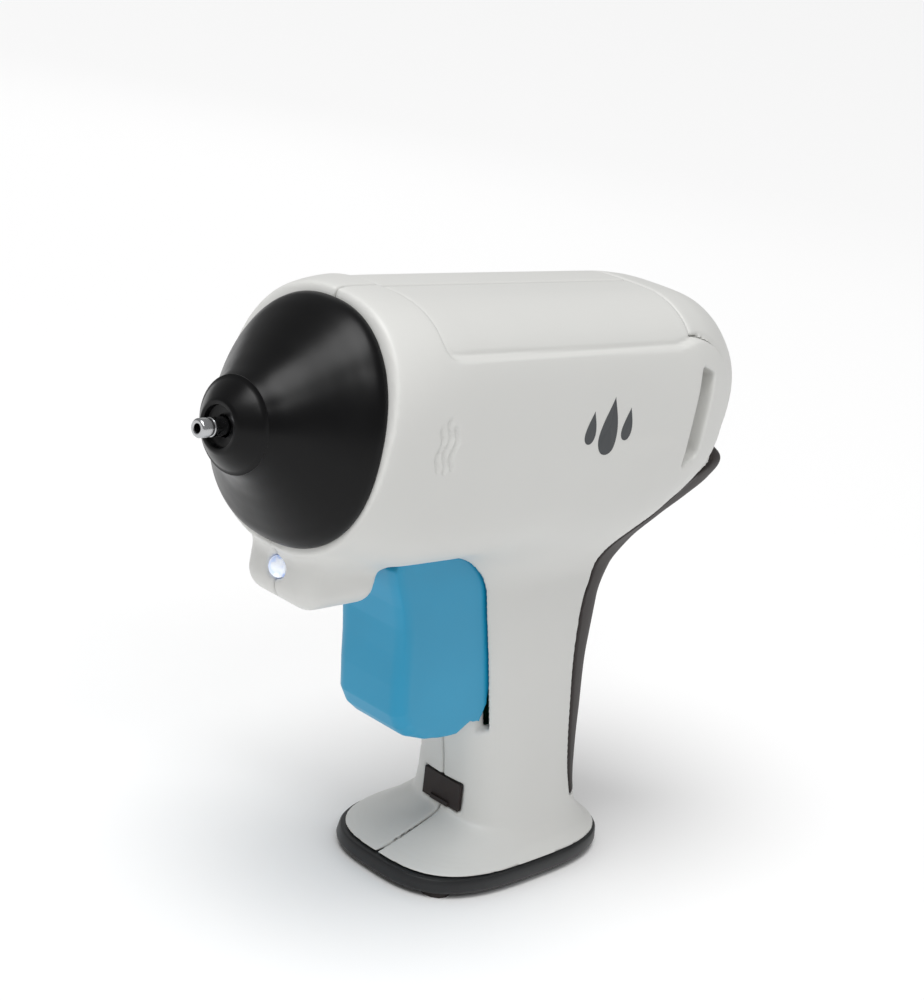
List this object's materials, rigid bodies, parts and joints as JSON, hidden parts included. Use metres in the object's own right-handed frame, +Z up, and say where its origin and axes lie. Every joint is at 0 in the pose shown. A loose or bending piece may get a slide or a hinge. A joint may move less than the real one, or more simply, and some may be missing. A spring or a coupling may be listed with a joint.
{
  "type": "cordless glue gun",
  "caption": "Cordless hot-melt glue gun: conical black nozzle, white two-part body, blue trigger, soft grip and flared stand foot.",
  "frame": {"origin": "middle of the bounding box at the underside of the foot pads", "axes": "+X toward the rear where the glue stick goes in, +Y toward the gun's right side, +Z up"},
  "size_m": [0.177, 0.0538, 0.1534],
  "materials": {
    "white_abs": "satin moulded ABS, warm white",
    "black_nylon": "satin black glass-filled nylon",
    "blue_abs": "satin sky blue ABS",
    "dark_rubber": "soft dark grip rubber",
    "bright_steel": "bright turned steel",
    "aluminium": "as-cast aluminium",
    "phenolic": "brown phenolic insulator",
    "silicone": "red-brown heat-proof silicone",
    "ceramic_white": "fired alumina, stands in for ceramic",
    "grey_acetal": "grey acetal",
    "circuit_board": "green solder mask",
    "cell_wrap": "shrink sleeve over a cell, mass of a lithium cell",
    "clear_lens": "clear acrylic lens",
    "red_insulation": "red wire insulation",
    "black_insulation": "black wire insulation"
  },
  "bodies": {
    "housing": {"left_shell": "white_abs", "right_shell": "white_abs", "rear_cap": "white_abs", "nozzle_shroud": "black_nylon", "stick_guide": "black_nylon", "inlet_ring": "black_nylon", "base_plate": "black_nylon", "push_switch": "black_nylon", "control_chip": "black_nylon", "grip": "dark_rubber", "foot_pad_1": "dark_rubber", "foot_pad_2": "dark_rubber", "foot_pad_3": "dark_rubber", "foot_pad_4": "dark_rubber", "nozzle_tip": "bright_steel", "sleeve_clamp": "bright_steel", "heater_clip": "bright_steel", "return_spring": "bright_steel", "trigger_pin": "bright_steel", "contact_top": "bright_steel", "contact_bottom": "bright_steel", "usb_socket": "bright_steel", "screw_1": "bright_steel", "screw_2": "bright_steel", "screw_3": "bright_steel", "screw_4": "bright_steel", "screw_5": "bright_steel", "screw_6": "bright_steel", "melt_chamber": "aluminium", "front_collar": "phenolic", "rear_collar": "phenolic", "glue_sleeve": "silicone", "heater_plate": "ceramic_white", "temperature_sensor": "ceramic_white", "cell_cradle": "grey_acetal", "main_board": "circuit_board", "led_board": "circuit_board", "port_board": "circuit_board", "battery_cell": "cell_wrap", "led_lamp": "clear_lens", "charge_light": "clear_lens", "heater_wire_live": "red_insulation", "lamp_wire": "red_insulation", "heater_wire_return": "black_insulation"},
    "trigger": {"trigger": "blue_abs"},
    "carriage": {"feed_carriage": "grey_acetal", "gripper_pin": "bright_steel"},
    "jaw": {"gripper_jaw": "bright_steel"},
    "button": {"power_button": "grey_acetal"},
    "port_cover": {"usb_cover": "dark_rubber"}
  },
  "joints": [
    {"name": "trigger_hinge", "type": "hinge", "parent": "housing", "child": "trigger", "pos_m": [-0.01263, 0, 0.1005], "axis": [0, -1, 0], "range_deg": [0, 20], "stiffness_Nm_per_rad": 0.9, "springref_deg": -8.59},
    {"name": "carriage_slide", "type": "slide", "parent": "housing", "child": "carriage", "axis": [-1, 0, 0], "range_m": [0, 0.00832], "deforming": ["return_spring"]},
    {"name": "jaw_hinge", "type": "hinge", "parent": "carriage", "child": "jaw", "pos_m": [-0.00158, 0, 0.135], "axis": [0, 1, 0], "range_deg": [0, 6], "stiffness_Nm_per_rad": 0.01},
    {"name": "button_press", "type": "slide", "parent": "housing", "child": "button", "axis": [0, -1, 0], "range_m": [0, 0.0008], "stiffness_N_per_m": 600},
    {"name": "port_cover_hinge", "type": "hinge", "parent": "housing", "child": "port_cover", "pos_m": [0.01628, 0, 0.02239], "axis": [0, 1, 0], "range_deg": [0, 75], "stiffness_Nm_per_rad": 0.002}
  ],
  "couplings": [
    {"joint": "carriage_slide", "follows": "trigger_hinge", "m_per_rad": 0.023742}
  ]
}
